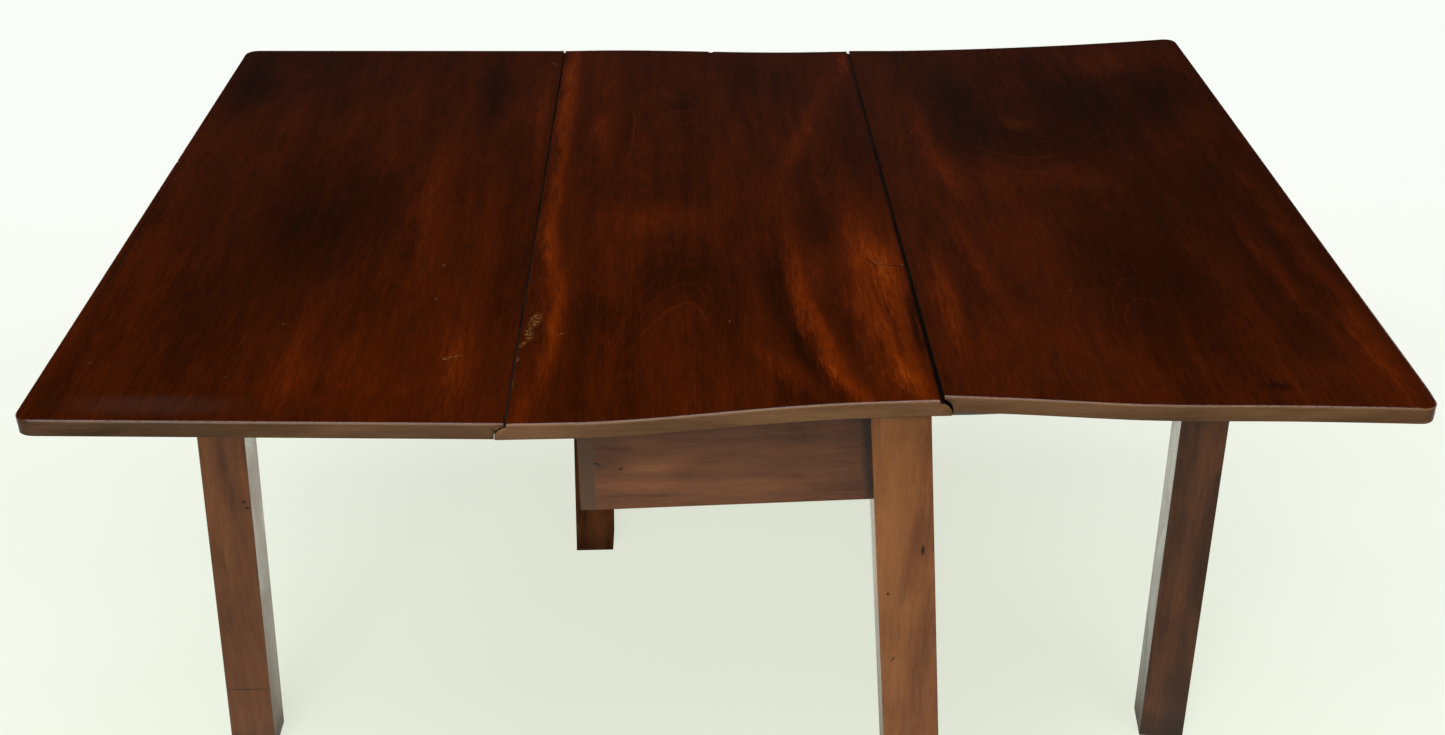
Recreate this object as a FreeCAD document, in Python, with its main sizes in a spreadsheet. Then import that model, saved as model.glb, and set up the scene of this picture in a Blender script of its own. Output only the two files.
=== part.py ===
"""Gate-leg drop-leaf table, standing with both leaves up and both gates swung out.

Axes: +X to the right leaf, +Y to the far end, +Z up; the origin is on the floor, at the middle
of the open table's outline. All lengths are in millimetres and all angles in degrees.

The under-frame is the same after half a turn about Z, so every frame piece is drawn once, in
place on one side, and its twin is the same piece turned half a turn about the frame's middle.
"""

import FreeCAD, Part
import Sketcher
import os

from FreeCAD import Rotation, Vector

SIZES = [
    # the top
    ("height", 711.0, "floor to the top's upper face"),
    ("board_thick", 15.5, "thickness of all three boards"),
    ("board_long", 920.0, "length of all three boards"),
    ("centre_wide", 359.0, "centre board, seam to seam"),
    ("left_reach", 404.0, "left seam to the left leaf's outer edge"),
    ("right_reach", 420.0, "right seam to the right leaf's outer edge"),
    ("leaf_corner", 13.0, "plan radius of a leaf's outer corners"),
    ("top_arris", 2.4, "rounding of the top's upper edges"),
    ("under_arris", 1.4, "rounding of the top's lower edges"),
    # the rule joint between the centre board and a leaf
    ("left_gap", 2.0, "open left seam in the upper face"),
    ("right_gap", 3.2, "open right seam in the upper face"),
    ("step", 3.2, "square step above the ovolo"),
    ("ovolo", 10.2, "radius of the centre board's moulded edge"),
    ("rule_gap", 0.6, "between the ovolo and the leaf's cove"),
    # legs and frame
    ("leg_thick", 52.0, "square section of the legs"),
    ("leg_arris", 1.3, "rounding of the legs' long edges"),
    ("frame_wide", 354.0, "frame over the legs, across"),
    ("frame_long", 856.0, "frame over the legs, end to end"),
    ("rail_deep", 98.0, "depth of the rails that carry the gates"),
    ("apron_fall", 4.5, "an apron's lower edge below those rails', at its free end"),
    ("apron_rise", 1.5, "an apron's lower edge above those rails', at its leg"),
    ("apron_thick", 22.0, "thickness of the end aprons"),
    ("apron_back", 3.0, "apron's face behind the leg's face"),
    ("inner_thick", 13.5, "thickness of the inner rails"),
    ("swing_gap", 0.6, "closed gate leg to inner rail"),
    ("near_lean", 0.066, "near right leg's outward lean, per unit of height"),
    ("far_lean", 0.027, "far left leg's outward lean, per unit of height"),
    ("near_draw", 0.0, "near right leg's lean towards mid-length, per unit of height"),
    ("far_draw", 0.010, "far left leg's lean towards mid-length, per unit of height"),
    # gates
    ("left_arm", 388.0, "left gate's pivot to the middle of its leg"),
    ("right_arm", 400.0, "right gate's pivot to the middle of its leg"),
    ("left_open", 90.0, "left gate's swing from closed"),
    ("right_open", 96.0, "right gate's swing from closed"),
    ("left_lean", 0.052, "left gate leg's lean away from its pivot"),
    ("right_lean", 0.0, "right gate leg's lean away from its pivot"),
    ("gate_drop", 1.2, "gate's top edge below the leaf"),
    ("pivot_along", 21.0, "pivot's distance from mid-length"),
    ("pivot_inset", 20.0, "pivot's distance from the fixed rail's back"),
    ("knuckle_round", 18.0, "radius of the wooden knuckles"),
    ("knuckle_hollow", 22.0, "pivot to the shoulders behind the knuckles"),
    ("knuckle_count", 5, "knuckles, fixed and swinging together"),
    ("knuckle_gap", 0.3, "between one knuckle and the next"),
    ("pin_round", 4.0, "radius of the gate's iron pin"),
    ("pin_play", 0.08, "running clearance round the pins"),
    # tenons
    ("tenon_thick", 10.0, "thickness of the tenons"),
    ("tenon_long", 24.0, "length of the tenons"),
    ("tenon_shoulder", 12.0, "shoulder above and below a tenon"),
    # rule-joint hinges
    ("hinge_wide", 36.0, "hinge, along the seam"),
    ("hinge_spread", 312.0, "end hinges' distance from the middle one"),
    ("hinge_knuckles", 5, "knuckles of a hinge's barrel, on both flaps together"),
    ("plate_thick", 1.8, "thickness of the hinge flaps"),
    ("board_flap", 32.0, "pivot to the end of the short flap"),
    ("leaf_flap", 52.0, "pivot to the end of the long flap"),
    ("barrel_round", 2.9, "radius of the hinge barrel"),
    ("hinge_pin_round", 1.5, "radius of the hinge pin"),
    ("hinge_play", 0.3, "between the parts of a hinge"),
    ("hinge_room", 0.6, "round a hinge's moving parts, in the centre board"),
    ("swing_reach", 11.2, "pivot to the end of the room for the long flaps' swing"),
    ("screw_out", 0.78, "a flap's outer screws, as a share of its length"),
    ("screw_in", 0.42, "a flap's inner screw, as a share of its length"),
    ("screw_apart", 9.0, "a flap's outer screws, to each side of its middle"),
    # blocks and screws
    ("block_thick", 22.0, "section of the glue blocks"),
    ("corner_block_high", 72.0, "height of the corner blocks"),
    ("top_block_long", 110.0, "length of the blocks under the top"),
    ("top_block_spread", 232.0, "end blocks' distance from the middle one"),
    ("screw_round", 2.2, "radius of the wood screws' shanks"),
    ("screw_head", 4.4, "radius of the wood screws' heads"),
    ("head_deep", 2.6, "depth of the wood screws' countersunk heads"),
    ("block_screw_long", 29.0, "length of the screws through the top blocks"),
    ("rail_screw_long", 32.0, "length of the screws through the inner rails"),
    ("rail_screw_spread", 140.0, "between the screws through an inner rail"),
    ("hinge_screw_round", 1.5, "radius of the hinge screws' shanks"),
    ("hinge_screw_head", 2.9, "radius of the hinge screws' heads"),
    ("hinge_screw_long", 7.0, "length of the hinge screws"),
]

doc = FreeCAD.newDocument("drop_leaf_table")
sheet = doc.addObject("Spreadsheet::Sheet", "Sizes")
for line, (alias, value, meaning) in enumerate(SIZES, start=1):
    sheet.set(f"A{line}", alias)
    sheet.set(f"B{line}", str(value))
    sheet.set(f"C{line}", meaning)
    sheet.setAlias(f"B{line}", alias)
doc.recompute()

size = {alias: float(value) for alias, value, meaning in SIZES}
table_parts = []
TOUCHING = 0.01
UPRIGHT = 0.9

# Places that several pieces share, as expressions on the sheet.
UNDER = "(Sizes.height - Sizes.board_thick)"
HALF_WIDE = "(Sizes.frame_wide / 2)"
HALF_LONG = "(Sizes.frame_long / 2)"
HALF_SEAM = "(Sizes.centre_wide / 2)"
HALF_TENON = "(Sizes.tenon_thick / 2)"
LEG_MIDDLE_X = f"({HALF_WIDE} - Sizes.leg_thick / 2)"
LEG_MIDDLE_Y = f"({HALF_LONG} - Sizes.leg_thick / 2)"
RAIL_LOW = f"({UNDER} - Sizes.rail_deep)"
RAIL_BACK = f"({HALF_WIDE} - Sizes.leg_thick - Sizes.swing_gap)"
INNER_FACE = f"({RAIL_BACK} - Sizes.inner_thick)"
APRON_FRONT = f"({HALF_LONG} - Sizes.apron_back)"
APRON_BACK = f"({APRON_FRONT} - Sizes.apron_thick)"
PIVOT_X = f"({RAIL_BACK} + Sizes.pivot_inset)"
GATE_TOP = f"({UNDER} - Sizes.gate_drop)"
# The foot of the leaning left gate leg stands out furthest on the left, the leaf on the right.
LEFT_FOOT = f"({PIVOT_X} + Sizes.left_arm + Sizes.leg_thick / 2 + Sizes.left_lean * {GATE_TOP})"
RIGHT_EDGE = f"({HALF_SEAM} + Sizes.right_reach)"
MIDDLE_X = f"(({LEFT_FOOT} - {RIGHT_EDGE}) / 2)"
PIVOT_Z = f"({UNDER} + Sizes.board_thick - Sizes.step - Sizes.ovolo)"
RAIL_THICK = "(Sizes.pivot_inset + Sizes.knuckle_round)"
LEG_FACE_X = f"({HALF_WIDE} - Sizes.leg_thick)"
LEG_FACE_Y = f"({HALF_LONG} - Sizes.leg_thick)"
KNUCKLE_HIGH = "(Sizes.rail_deep / Sizes.knuckle_count)"
TENON_LOW = f"({RAIL_LOW} + Sizes.tenon_shoulder)"
TENON_HIGH = "(Sizes.rail_deep - 2 * Sizes.tenon_shoulder)"
HINGE_KNUCKLE = "(Sizes.hinge_wide / Sizes.hinge_knuckles)"


def bind(thing, **expressions):
    """Bind properties to expressions; x, y, z and turn stand for the placement's numbers."""
    paths = {
        "x": "Placement.Base.x",
        "y": "Placement.Base.y",
        "z": "Placement.Base.z",
        "turn": "Placement.Rotation.Angle",
    }
    for name, expression in expressions.items():
        thing.setExpression(paths.get(name, name), expression)
    return thing


def keep(thing, label):
    """Name a finished sub-part; its label is the name of its file."""
    thing.Label = label
    table_parts.append(thing)
    return thing


def box(wide, deep, high, x, y, z):
    """A block, from its three sizes and its lowest corner."""
    block = doc.addObject("Part::Box", "Block")
    return bind(block, Length=wide, Width=deep, Height=high, x=x, y=y, z=z)


def rod(radius, long, x, y, z, axis=Vector(0, 0, 1)):
    """A round bar that starts at a point and runs along an axis."""
    bar = doc.addObject("Part::Cylinder", "Rod")
    bar.Placement.Rotation = Rotation(Vector(0, 0, 1), axis)
    return bind(bar, Radius=radius, Height=long, x=x, y=y, z=z)


def join(pieces):
    """One solid from pieces that touch or overlap."""
    whole = doc.addObject("Part::MultiFuse", "Join")
    whole.Shapes = pieces
    whole.Refine = True
    return whole


def group(pieces):
    """Separate solids that share one node."""
    together = doc.addObject("Part::Compound", "Group")
    together.Links = pieces
    return together


def cut(stock, tools):
    """Stock with the tools' shapes taken away."""
    rest = doc.addObject("Part::Cut", "Cut")
    rest.Base = stock
    rest.Tool = tools[0] if len(tools) == 1 else group(tools)
    rest.Refine = True
    return rest


def half_turn(thing, far):
    """Move a frame piece under the top, and turn it half a turn if it is the twin."""
    thing.Placement.Rotation = Rotation(Vector(0, 0, 1), 180 if far else 0)
    return bind(thing, x=MIDDLE_X)


def edges_where(shape, wanted):
    """The names of the edges whose middle point and direction pass a test."""
    names = []
    for number, edge in enumerate(shape.Edges, start=1):
        middle = edge.valueAt((edge.FirstParameter + edge.LastParameter) / 2)
        along = edge.tangentAt((edge.FirstParameter + edge.LastParameter) / 2)
        if wanted(middle, along):
            names.append(f"Edge{number}")
    return names


def round_edges(body, base, radius, wanted):
    """A fillet on the edges of the body's last feature that pass a test."""
    doc.recompute()
    fillet = body.newObject("PartDesign::Fillet", "Rounding")
    fillet.Base = (base, edges_where(base.Shape, wanted))
    fillet.setExpression("Radius", radius)
    doc.recompute()
    return fillet


def new_sketch(body, plane):
    """An empty sketch on one of the body's own origin planes."""
    sketch = body.newObject("Sketcher::SketchObject", "Sketch")
    planes = {feature.Role: feature for feature in body.Origin.OriginFeatures}
    sketch.AttachmentSupport = [(planes[plane], "")]
    sketch.MapMode = "FlatFace"
    return sketch


def value(expression):
    """What an expression on the sheet comes to."""
    return float(sheet.evalExpression(expression))


def outline(body, plane, corners, arcs=None):
    """A closed sketch whose corners, and the radii of its arcs, are bound to expressions.

    arcs gives, for the side that leaves a corner, the arc's centre, radius and sense of turn.
    """
    arcs = arcs or {}
    sketch = new_sketch(body, plane)
    points = [Vector(value(across), value(up), 0) for across, up in corners]
    ends = []
    for number, start in enumerate(points):
        end = points[(number + 1) % len(points)]
        if number in arcs:
            (across, up), radius, forward = arcs[number]
            centre = Vector(value(across), value(up), 0)
            circle = Part.Circle(centre, Vector(0, 0, 1), value(radius))
            first, last = (start, end) if forward else (end, start)
            angles = circle.parameter(first), circle.parameter(last)
            sketch.addGeometry(Part.ArcOfCircle(circle, *angles))
            ends.append((1, 2) if forward else (2, 1))
        else:
            sketch.addGeometry(Part.LineSegment(start, end))
            ends.append((1, 2))
    for number, corner in enumerate(corners):
        following = (number + 1) % len(corners)
        sketch.addConstraint(
            Sketcher.Constraint(
                "Coincident", number, ends[number][1], following, ends[following][0]
            )
        )
        for kind, expression in zip(("DistanceX", "DistanceY"), corner):
            bind_constraint(sketch, expression, kind, -1, 1, number, ends[number][0])
    for number, (centre, radius, forward) in arcs.items():
        bind_constraint(sketch, radius, "Radius", number)
    return sketch


def bind_constraint(sketch, expression, *constraint):
    """Add a dimension to a sketch and bind it to an expression."""
    dimension = Sketcher.Constraint(*constraint, value(expression))
    number = sketch.addConstraint(dimension)
    sketch.setExpression(f"Constraints[{number}]", expression)


def pad(body, sketch, length, midplane=False):
    """The body's first solid, from a sketch."""
    solid = body.newObject("PartDesign::Pad", "Pad")
    solid.Profile = sketch
    solid.Midplane = midplane
    solid.setExpression("Length", length)
    return solid


# ---------------------------------------------------------------- the three boards


def centre_board_blank():
    """The fixed board, with an ovolo and a square step along both long edges."""
    body = doc.addObject("PartDesign::Body", "Board")
    thick = "Sizes.board_thick"
    round_low = f"({thick} - Sizes.step - Sizes.ovolo)"
    round_high = f"({thick} - Sizes.step)"
    out = f"({HALF_SEAM} + Sizes.ovolo)"
    corners = [
        (f"-{out}", "0"),
        (out, "0"),
        (out, round_low),
        (HALF_SEAM, round_high),
        (HALF_SEAM, thick),
        (f"-{HALF_SEAM}", thick),
        (f"-{HALF_SEAM}", round_high),
        (f"-{out}", round_low),
    ]
    arcs = {
        2: ((HALF_SEAM, round_low), "Sizes.ovolo", True),
        6: ((f"-{HALF_SEAM}", round_low), "Sizes.ovolo", True),
    }
    profile = outline(body, "XZ_Plane", corners, arcs)
    board = pad(body, profile, "Sizes.board_long", midplane=True)
    half = size["board_long"] / 2
    upper = size["board_thick"]

    def upper_end(middle, along):
        return abs(abs(middle.y) - half) < TOUCHING and abs(middle.z - upper) < TOUCHING

    def lower_edge(middle, along):
        return abs(middle.z) < TOUCHING

    board = round_edges(body, board, "Sizes.top_arris", upper_end)
    round_edges(body, board, "Sizes.under_arris", lower_edge)
    return bind(body, x=MIDDLE_X, z=UNDER)


def leaf_blank(reach, gap, side):
    """A hanging board, drawn beside the seam, whose cove closes over the ovolo.

    side is 1 for the right leaf and -1 for the left.
    """
    body = doc.addObject("PartDesign::Body", "Leaf")
    thick = "Sizes.board_thick"
    cove = "(Sizes.ovolo + Sizes.rule_gap)"
    pivot_high = f"({thick} - Sizes.step - Sizes.ovolo)"
    lip_high = f"({pivot_high} + sqrt({cove} ^ 2 - {gap} ^ 2))"
    sign = "1" if side > 0 else "-1"
    corners = [
        (f"{sign} * {cove}", "0"),
        (f"{sign} * {reach}", "0"),
        (f"{sign} * {reach}", thick),
        (f"{sign} * {gap}", thick),
        (f"{sign} * {gap}", lip_high),
        (f"{sign} * {cove}", pivot_high),
    ]
    arcs = {4: (("0", pivot_high), cove, side < 0)}
    profile = outline(body, "XZ_Plane", corners, arcs)
    board = pad(body, profile, "Sizes.board_long", midplane=True)
    upper = size["board_thick"]
    outer = side * value(reach)

    def outer_corner(middle, along):
        return abs(along.z) > UPRIGHT and abs(middle.x - outer) < TOUCHING

    def past_the_joint(middle):
        return abs(middle.x) > value(cove) + TOUCHING

    def upper_rim(middle, along):
        return abs(middle.z - upper) < TOUCHING and past_the_joint(middle)

    def lower_rim(middle, along):
        return abs(middle.z) < TOUCHING and past_the_joint(middle)

    board = round_edges(body, board, "Sizes.leaf_corner", outer_corner)
    board = round_edges(body, board, "Sizes.top_arris", upper_rim)
    round_edges(body, board, "Sizes.under_arris", lower_rim)
    return bind(body, x=f"{MIDDLE_X} + {sign} * {HALF_SEAM}", z=UNDER)


# ---------------------------------------------------------------- legs


def leg_blank(lean_x, lean_y, top):
    """A square leg whose foot lies under its lean; its top is centred on the body's axis."""
    body = doc.addObject("PartDesign::Body", "Leg")
    half = "(Sizes.leg_thick / 2)"
    foot_x = f"{lean_x} * {top}"
    foot_y = f"{lean_y} * {top}"
    corners = [
        (f"{foot_x} - {half}", f"{foot_y} - {half}"),
        (f"{foot_x} + {half}", f"{foot_y} - {half}"),
        (f"{foot_x} + {half}", f"{foot_y} + {half}"),
        (f"{foot_x} - {half}", f"{foot_y} + {half}"),
    ]
    foot = outline(body, "XY_Plane", corners)
    leg = pad(body, foot, top)
    leg.UseCustomVector = True
    leg.AlongSketchNormal = True
    leg.Direction = Vector(-value(lean_x), -value(lean_y), 1)

    def long_edge(middle, along):
        return abs(along.z) > UPRIGHT

    round_edges(body, leg, "Sizes.leg_arris", long_edge)
    return body


# ---------------------------------------------------------------- the fixed frame
# Every piece below is drawn where it stands near the right-hand near leg; the twin is turned.


def apron_tenon():
    """The apron's tongue, which enters the fixed leg from the side."""
    start = f"({LEG_FACE_X} - Sizes.tenon_shoulder)"
    middle = f"(({APRON_FRONT} + {APRON_BACK}) / 2)"
    return box(
        "Sizes.tenon_shoulder + Sizes.tenon_long",
        "Sizes.tenon_thick",
        TENON_HIGH,
        start,
        f"-{middle} - {HALF_TENON}",
        TENON_LOW,
    )


def rail_tenon():
    """The fixed rail's tongue, which enters the fixed leg from the back."""
    return box(
        "Sizes.tenon_thick",
        "Sizes.tenon_long + Sizes.tenon_shoulder",
        TENON_HIGH,
        f"{RAIL_BACK} + {RAIL_THICK} / 2 - {HALF_TENON}",
        f"-{LEG_FACE_Y} - Sizes.tenon_long",
        TENON_LOW,
    )


def fixed_leg(lean, draw, far):
    """A fixed leg with its two mortises; it leans outward, and a little towards mid-length."""
    leg = leg_blank(lean, draw, UNDER)
    bind(leg, x=LEG_MIDDLE_X, y=f"-{LEG_MIDDLE_Y}")
    return leg, half_turn(cut(leg, [apron_tenon(), rail_tenon()]), far)


def apron(leg, far):
    """An end apron, from the far side's inner rail to its shoulder on the fixed leg.

    It is a little deeper at the rail's end than at the leg.
    """
    body = doc.addObject("PartDesign::Body", "Apron")
    corners = [
        (f"-{INNER_FACE}", "-(Sizes.rail_deep + Sizes.apron_fall)"),
        (LEG_MIDDLE_X, "-(Sizes.rail_deep - Sizes.apron_rise)"),
        (LEG_MIDDLE_X, "0"),
        (f"-{INNER_FACE}", "0"),
    ]
    pad(body, outline(body, "XZ_Plane", corners), "Sizes.apron_thick", midplane=True)
    bind(body, y=f"-({APRON_FRONT} + {APRON_BACK}) / 2", z=UNDER)
    return half_turn(join([cut(body, [leg]), apron_tenon()]), far)


def inner_rail(screws, far):
    """The thin rail that backs the gate, flush with one apron's face and behind the other."""
    rail = box(
        "Sizes.inner_thick",
        f"{APRON_BACK} + {APRON_FRONT}",
        "Sizes.rail_deep + Sizes.apron_fall",
        INNER_FACE,
        f"-{APRON_BACK}",
        f"{RAIL_LOW} - Sizes.apron_fall",
    )
    return half_turn(cut(rail, [screws]), far)


def knuckles(first, direction):
    """Every second knuckle of a rail, with a flank that joins it to the rail's shoulder.

    The knuckles stand round the pivot; direction is 1 where the rail lies towards +Y.
    """
    pieces = []
    for level in range(first, int(size["knuckle_count"]), 2):
        low = f"{RAIL_LOW} + {level} * {KNUCKLE_HIGH} + Sizes.knuckle_gap / 2"
        high = f"{KNUCKLE_HIGH} - Sizes.knuckle_gap"
        pieces.append(rod("Sizes.knuckle_round", high, "0", "0", low))
        start = "0" if direction > 0 else "-Sizes.knuckle_hollow"
        pieces.append(
            box(
                "2 * Sizes.knuckle_round",
                "Sizes.knuckle_hollow",
                high,
                "-Sizes.knuckle_round",
                start,
                low,
            )
        )
    return pieces


def at_pivot(thing):
    """Move a piece that is drawn round the gate's pivot to its place beside the frame."""
    return bind(thing, x=PIVOT_X, y="Sizes.pivot_along")


def fixed_rail(leg, screws, far):
    """The outer rail's fixed half, from its tenon in the leg to its knuckles."""
    length = f"{LEG_FACE_Y} + Sizes.pivot_along - Sizes.knuckle_hollow"
    stock = box(
        RAIL_THICK, length, "Sizes.rail_deep", RAIL_BACK, f"-{LEG_FACE_Y}", RAIL_LOW
    )
    hinge = at_pivot(join(knuckles(0, -1)))
    pin = at_pivot(rod("Sizes.pin_round", "Sizes.rail_deep", "0", "0", RAIL_LOW))
    rail = join([cut(stock, [leg]), hinge, rail_tenon()])
    return half_turn(cut(rail, [pin, screws]), far)


def knuckle_pin(far):
    """The iron pin that the gate swings on."""
    pin = at_pivot(rod("Sizes.pin_round", "Sizes.rail_deep", "0", "0", RAIL_LOW))
    return half_turn(group([pin]), far)


def swing(thing, opening, far):
    """Put a gate piece, drawn closed round the pivot, at its open place.

    The first turn only sets the axis, and the sheet then sets the angle.
    """
    sign = "-" if far else ""
    turn = f"180 - {opening}" if far else f"360 - {opening}"
    thing.Placement.Rotation = Rotation(Vector(0, 0, 1), 180)
    return bind(
        thing,
        x=f"{MIDDLE_X} + {sign}{PIVOT_X}",
        y=f"{sign}Sizes.pivot_along",
        turn=turn,
    )


def gate(arm, lean, opening, far):
    """A gate: its rail, with the swinging knuckles, and its leg."""
    drop = "Sizes.gate_drop"
    leg_x = f"({LEG_MIDDLE_X} - {PIVOT_X})"
    leg_face = f"({arm} - Sizes.leg_thick / 2)"
    leg = bind(leg_blank("0", lean, GATE_TOP), x=leg_x, y=arm)
    stock = box(
        "2 * Sizes.knuckle_round",
        f"{arm} - Sizes.knuckle_hollow",
        f"Sizes.rail_deep - {drop}",
        "-Sizes.knuckle_round",
        "Sizes.knuckle_hollow",
        RAIL_LOW,
    )
    tenon = box(
        "Sizes.tenon_thick",
        "Sizes.tenon_shoulder + Sizes.tenon_long",
        TENON_HIGH,
        f"-{HALF_TENON}",
        f"{leg_face} - Sizes.tenon_shoulder",
        TENON_LOW,
    )
    bore = rod("Sizes.pin_round + Sizes.pin_play", "Sizes.rail_deep", "0", "0", RAIL_LOW)
    hinge = cut(join(knuckles(1, 1)), [bore])
    rail = join([cut(stock, [leg]), hinge, tenon])
    return swing(rail, opening, far), swing(cut(leg, [tenon]), opening, far)


# ---------------------------------------------------------------- blocks and screws


def screw(x, y, z, axis, long, shank, head, head_deep):
    """A countersunk screw whose head's flat face is at a point; it runs along an axis."""
    bar = rod(shank, long, x, y, z, axis)
    cone = doc.addObject("Part::Cone", "Head")
    cone.Placement.Rotation = Rotation(Vector(0, 0, 1), axis)
    bind(cone, Radius1=head, Radius2=shank, Height=head_deep, x=x, y=y, z=z)
    return join([bar, cone])


def rail_screws(far):
    """Three screws that hold a fixed rail to the inner rail behind it."""
    screws = []
    for place in range(3):
        y = f"-Sizes.rail_screw_spread * {place} - Sizes.rail_screw_spread / 2"
        screws.append(
            screw(
                INNER_FACE,
                y,
                f"{RAIL_LOW} + Sizes.rail_deep / 2",
                Vector(1, 0, 0),
                "Sizes.rail_screw_long",
                "Sizes.screw_round",
                "Sizes.screw_head",
                "Sizes.head_deep",
            )
        )
    return group(screws)


def corner_blocks():
    """The four blocks glued into the frame's inner corners."""
    blocks = []
    section = "Sizes.block_thick"
    low = f"{UNDER} - Sizes.corner_block_high"
    for x in (f"-{INNER_FACE}", f"{INNER_FACE} - {section}"):
        for y in (f"-{APRON_BACK}", f"{APRON_BACK} - {section}"):
            x_there = f"{MIDDLE_X} + {x}"
            blocks.append(box(section, section, "Sizes.corner_block_high", x_there, y, low))
    return group(blocks)


def top_block_places():
    """The places of the blocks that hold the top, along both inner rails."""
    for x in (f"-{INNER_FACE}", f"{INNER_FACE} - Sizes.block_thick"):
        for step in (-1, 0, 1):
            yield f"{MIDDLE_X} + {x}", f"{step} * Sizes.top_block_spread"


def top_screws():
    """The screws that run up through the top blocks into the centre board."""
    screws = []
    for x, y in top_block_places():
        screws.append(
            screw(
                f"{x} + Sizes.block_thick / 2",
                y,
                f"{UNDER} - Sizes.block_thick",
                Vector(0, 0, 1),
                "Sizes.block_screw_long",
                "Sizes.screw_round",
                "Sizes.screw_head",
                "Sizes.head_deep",
            )
        )
    return group(screws)


def top_blocks(screws):
    """The blocks glued along the inner rails, under the top."""
    blocks = []
    for x, y in top_block_places():
        start = f"{y} - Sizes.top_block_long / 2"
        low = f"{UNDER} - Sizes.block_thick"
        thick = "Sizes.block_thick"
        blocks.append(box(thick, "Sizes.top_block_long", thick, x, start, low))
    return cut(group(blocks), [screws])


# ---------------------------------------------------------------- rule-joint hinges


def hinge_places(side):
    """The middle of each hinge on a side's pivot line."""
    sign = "" if side > 0 else "-"
    for step in (-1, 0, 1):
        yield f"({MIDDLE_X} + {sign}{HALF_SEAM})", f"({step} * Sizes.hinge_spread)"


def barrel_places(first, y):
    """Where every second knuckle of one hinge's barrel starts, along the pivot line."""
    for place in range(first, int(size["hinge_knuckles"]), 2):
        yield f"{y} - Sizes.hinge_wide / 2 + {place} * {HINGE_KNUCKLE} + Sizes.hinge_play / 2"


def flap_screw_places(x, y, outward, reach):
    """The three screws of a flap, two near its end and one nearer the barrel."""
    for share, across in (("screw_out", -1), ("screw_out", 1), ("screw_in", 0)):
        along = f"{outward} * Sizes.{share} * {reach}"
        yield f"{x} + {along}", f"{y} + {across} * Sizes.screw_apart"


def flap_screws(side, outward, reach):
    """The hinge screws of all the flaps on one side of a seam."""
    screws = []
    for x, y in hinge_places(side):
        for across, along in flap_screw_places(x, y, outward, reach):
            screws.append(
                screw(
                    across,
                    along,
                    UNDER,
                    Vector(0, 0, 1),
                    "Sizes.hinge_screw_long",
                    "Sizes.hinge_screw_round",
                    "Sizes.hinge_screw_head",
                    "Sizes.plate_thick",
                )
            )
    return group(screws)


def flaps(side, outward, reach, first, bore, screws):
    """The flaps on one side of a seam, let in flush with the boards' lower face.

    outward is the way from the pivot to the flap's end, and first its first knuckle.
    """
    clear = "(Sizes.barrel_round + Sizes.hinge_play)"
    long = f"{HINGE_KNUCKLE} - Sizes.hinge_play"
    thick = "Sizes.plate_thick"
    plates = []
    for x, y in hinge_places(side):
        start = f"{x} + {clear}" if outward > 0 else f"{x} - {reach}"
        link_start = x if outward > 0 else f"{x} - {clear}"
        low_y = f"{y} - Sizes.hinge_wide / 2"
        pieces = [box(f"{reach} - {clear}", "Sizes.hinge_wide", thick, start, low_y, UNDER)]
        for place in barrel_places(first, y):
            pieces.append(box(clear, long, thick, link_start, place, UNDER))
            pieces.append(rod("Sizes.barrel_round", long, x, place, PIVOT_Z, Vector(0, 1, 0)))
        hole = rod(bore, "Sizes.hinge_wide", x, low_y, PIVOT_Z, Vector(0, 1, 0))
        plates.append(cut(join(pieces), [hole]))
    return cut(group(plates), [screws])


def hinge_pins(side):
    """The pins of one seam's hinges."""
    pins = []
    for x, y in hinge_places(side):
        start = f"{y} - Sizes.hinge_wide / 2"
        pins.append(
            rod("Sizes.hinge_pin_round", "Sizes.hinge_wide", x, start, PIVOT_Z, Vector(0, 1, 0))
        )
    return group(pins)


def hinge_rooms(side):
    """What is cut out of the centre board for the barrels, and for the long flaps' swing."""
    rooms = []
    for x, y in hinge_places(side):
        low_y = f"{y} - Sizes.hinge_wide / 2 - Sizes.hinge_play"
        wide = "Sizes.hinge_wide + 2 * Sizes.hinge_play"
        half = "(Sizes.barrel_round + Sizes.hinge_room)"
        high = f"{PIVOT_Z} + {half} - {UNDER}"
        rooms.append(box(f"2 * {half}", wide, high, f"{x} - {half}", low_y, UNDER))
        start = x if side > 0 else f"{x} - Sizes.swing_reach"
        swing_high = f"{PIVOT_Z} - {UNDER} + 2 * Sizes.hinge_room"
        rooms.append(box("Sizes.swing_reach", wide, swing_high, start, low_y, UNDER))
    return rooms


# ---------------------------------------------------------------- the whole table

# The near end's fixed leg is on the right, and carries the right gate's rail; the far end's is
# on the left.
for far, end, side in ((False, "near", "right"), (True, "far", "left")):
    rail_fixings = rail_screws(far)
    blank, leg = fixed_leg(f"Sizes.{end}_lean", f"Sizes.{end}_draw", far)
    keep(leg, "far_left_leg" if far else "near_right_leg")
    keep(apron(blank, far), f"{end}_apron")
    keep(inner_rail(rail_fixings, far), f"{side}_inner_rail")
    keep(fixed_rail(blank, rail_fixings, far), f"{side}_fixed_rail")
    keep(knuckle_pin(far), f"{side}_gate_pin")
    rail, gate_leg = gate(
        f"Sizes.{side}_arm", f"Sizes.{side}_lean", f"Sizes.{side}_open", far
    )
    keep(rail, f"{side}_gate_rail")
    keep(gate_leg, f"{side}_gate_leg")
    keep(half_turn(group([rail_fixings]), far), f"{side}_rail_screws")

fixings = top_screws()
keep(top_blocks(fixings), "top_blocks")
keep(fixings, "top_screws")
keep(corner_blocks(), "corner_blocks")

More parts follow.
